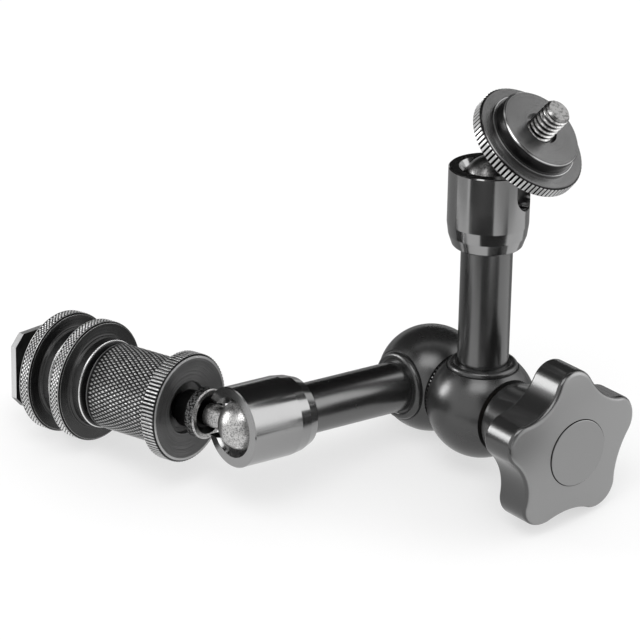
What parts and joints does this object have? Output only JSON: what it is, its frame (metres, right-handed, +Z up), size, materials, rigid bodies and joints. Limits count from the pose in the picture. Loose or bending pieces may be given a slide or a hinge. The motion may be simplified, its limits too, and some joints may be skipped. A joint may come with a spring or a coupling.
{
  "type": "articulating friction arm",
  "caption": "Two-link articulating arm with ball joints at both ends, a star-shaped clamp knob at the elbow, a threaded camera stud with a locking wheel, and a shoe foot with locking discs.",
  "frame": {"origin": "middle of the bounding box's base, on the surface that the arm lies on", "axes": "+Z up, away from the surface; the knob's axis lies in the YZ plane and its face looks to -Y; the link with the camera screw stands up and the other link points to -X, with its shoe foot towards +Y"},
  "size_m": [0.1074, 0.12, 0.0936],
  "materials": {
    "shoe": "bright machined",
    "screw_steel": "bright",
    "disc": "black anodised, turned",
    "sleeve": "black anodised, knurled",
    "ball_steel": "satin",
    "socket": "glossy black anodised",
    "tube": "glossy black anodised",
    "elbow": "glossy black anodised",
    "washer": "satin",
    "inner_steel": "plain",
    "bush_brass": "plain",
    "wheel": "satin, edge knurled",
    "knob": "satin dark grey",
    "knob_cap": "satin dark grey",
    "insert_brass": "plain"
  },
  "bodies": {
    "shoe": {"shoe_foot": "shoe", "shoe_screw": "screw_steel"},
    "lower_disc": {"lower_locking_disc": "disc"},
    "upper_disc": {"upper_locking_disc": "disc"},
    "sleeve": {"knurled_sleeve": "sleeve", "rear_ball_stud": "ball_steel"},
    "rear_arm": {"rear_socket": "socket", "rear_pressure_seat": "bush_brass", "rear_tube": "tube", "rear_body": "elbow", "toothed_washer": "washer", "release_spring": "inner_steel"},
    "rear_rod": {"rear_push_rod": "inner_steel"},
    "rear_clamp": {"clamp_bolt": "inner_steel", "rear_wedge": "inner_steel"},
    "front_arm": {"front_body": "elbow", "front_tube": "tube", "front_socket": "socket"},
    "front_rod": {"front_push_rod": "inner_steel"},
    "front_clamp": {"front_wedge": "inner_steel", "thrust_bush": "bush_brass"},
    "knob": {"knob": "knob", "knob_cap": "knob_cap", "knob_insert": "insert_brass"},
    "front_seat": {"front_pressure_seat": "bush_brass"},
    "front_stud": {"front_ball_stud": "ball_steel"},
    "wheel": {"locking_wheel": "wheel"}
  },
  "joints": [
    {"name": "lower_disc_travel", "type": "slide", "parent": "shoe", "child": "lower_disc", "axis": [-0.2452, 0.9619, -0.1207], "range_m": [-0.0015, 0.0055]},
    {"name": "upper_disc_travel", "type": "slide", "parent": "shoe", "child": "upper_disc", "axis": [-0.2452, 0.9619, -0.1207], "range_m": [-0.0012, 0.0015]},
    {"name": "sleeve_turn", "type": "hinge", "parent": "shoe", "child": "sleeve", "pos_m": [-0.03284, 0.02326, 0.0179], "axis": [-0.2452, 0.9619, -0.1207], "continuous": true},
    {"name": "rear_tilt", "type": "hinge", "parent": "sleeve", "child": "rear_arm", "pos_m": [-0.02549, -0.0056, 0.02152], "axis": [0.1555, 0.162, 0.9745], "range_deg": [-118.5, 20]},
    {"name": "elbow", "type": "hinge", "parent": "rear_arm", "child": "front_arm", "pos_m": [0.02954, -0.0158, 0.01394], "axis": [0, -0.9938, 0.1115], "range_deg": [-238, 56]},
    {"name": "knob_turn", "type": "hinge", "parent": "front_arm", "child": "knob", "pos_m": [0.02954, -0.03568, 0.01617], "axis": [0, -0.9938, 0.1115], "range_deg": [-270, 0]},
    {"name": "rear_clamp_travel", "type": "slide", "parent": "rear_arm", "child": "rear_clamp", "axis": [0, -0.9938, 0.1115], "range_m": [0, 0.0003]},
    {"name": "front_clamp_travel", "type": "slide", "parent": "front_arm", "child": "front_clamp", "axis": [0, 0.9938, -0.1115], "range_m": [0, 0.0003]},
    {"name": "rear_rod_travel", "type": "slide", "parent": "rear_arm", "child": "rear_rod", "axis": [-0.9878, 0.0174, 0.1548], "range_m": [0, 0.0003]},
    {"name": "front_rod_travel", "type": "slide", "parent": "front_arm", "child": "front_rod", "axis": [0.1142, 0.1107, 0.9873], "range_m": [0, 0.0003]},
    {"name": "front_swivel", "type": "hinge", "parent": "front_arm", "child": "front_seat", "pos_m": [0.0359, -0.01888, 0.06996], "axis": [0.1142, 0.1107, 0.9873], "continuous": true},
    {"name": "front_tilt", "type": "hinge", "parent": "front_seat", "child": "front_stud", "pos_m": [0.0359, -0.01888, 0.06996], "axis": [0.9596, 0.2449, -0.1385], "range_deg": [-83.5, 2]},
    {"name": "locking_wheel_travel", "type": "slide", "parent": "front_stud", "child": "wheel", "axis": [0.2547, -0.5469, 0.7975], "range_m": [0, 0.0055]}
  ],
  "couplings": [
    {"joint": "rear_clamp_travel", "follows": "knob_turn", "m_per_rad": -0.000063662},
    {"joint": "front_clamp_travel", "follows": "knob_turn", "m_per_rad": -0.000063662},
    {"joint": "rear_rod_travel", "follows": "knob_turn", "m_per_rad": -0.000063662},
    {"joint": "front_rod_travel", "follows": "knob_turn", "m_per_rad": -0.000063662}
  ]
}
